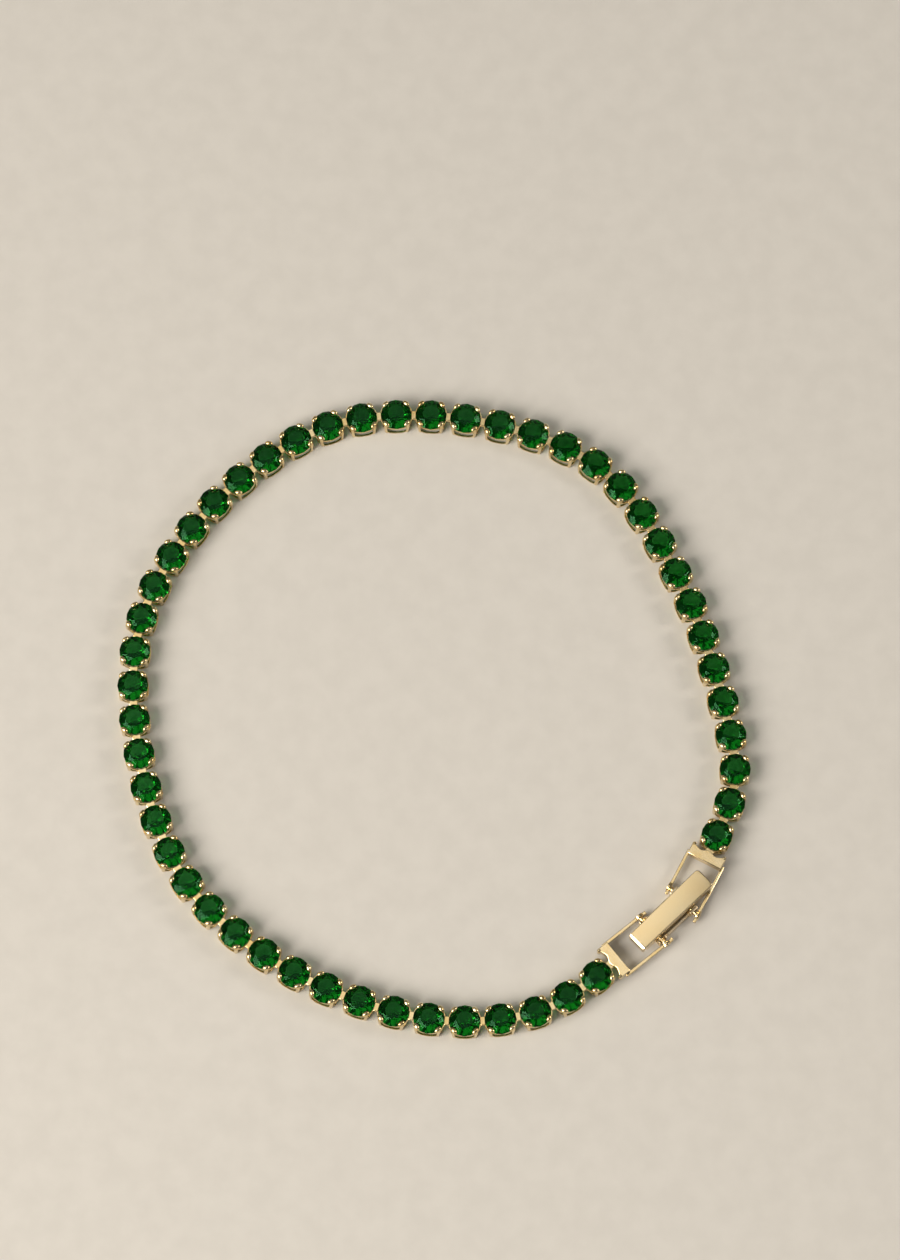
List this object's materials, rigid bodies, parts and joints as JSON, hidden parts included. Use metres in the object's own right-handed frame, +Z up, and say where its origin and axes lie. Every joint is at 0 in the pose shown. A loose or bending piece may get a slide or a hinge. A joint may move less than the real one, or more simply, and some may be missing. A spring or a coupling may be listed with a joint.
{
  "type": "tennis bracelet",
  "caption": "Closed line bracelet of round green stones in four-prong gold settings, with a fold-over clasp whose cover lifts.",
  "frame": {"origin": "middle of the loop, on the surface that the bracelet lies on", "axes": "+Z up out of the stones' tables, +X to the picture's right, +Y to its top; the clasp is at +X -Y"},
  "size_m": [0.0632, 0.0656, 0.0032],
  "materials": {
    "green_stone_in_gold": "polished facets, prongs and rails in pale gold",
    "pale_gold": "polished gold plate"
  },
  "bodies": {
    "bracelet": {"stone_string_right": "green_stone_in_gold", "stone_string_left": "green_stone_in_gold", "hinge_frame": "pale_gold", "catch_frame": "pale_gold", "clasp_tray": "pale_gold", "hinge_pin": "pale_gold", "lever_pin": "pale_gold"},
    "cover": {"clasp_cover": "pale_gold"}
  },
  "joints": [
    {"name": "cover_hinge", "type": "hinge", "parent": "bracelet", "child": "cover", "pos_m": [0.02671, -0.01732, 0.00252], "axis": [-0.6941, 0.7199, 0], "range_deg": [0, 100]}
  ]
}
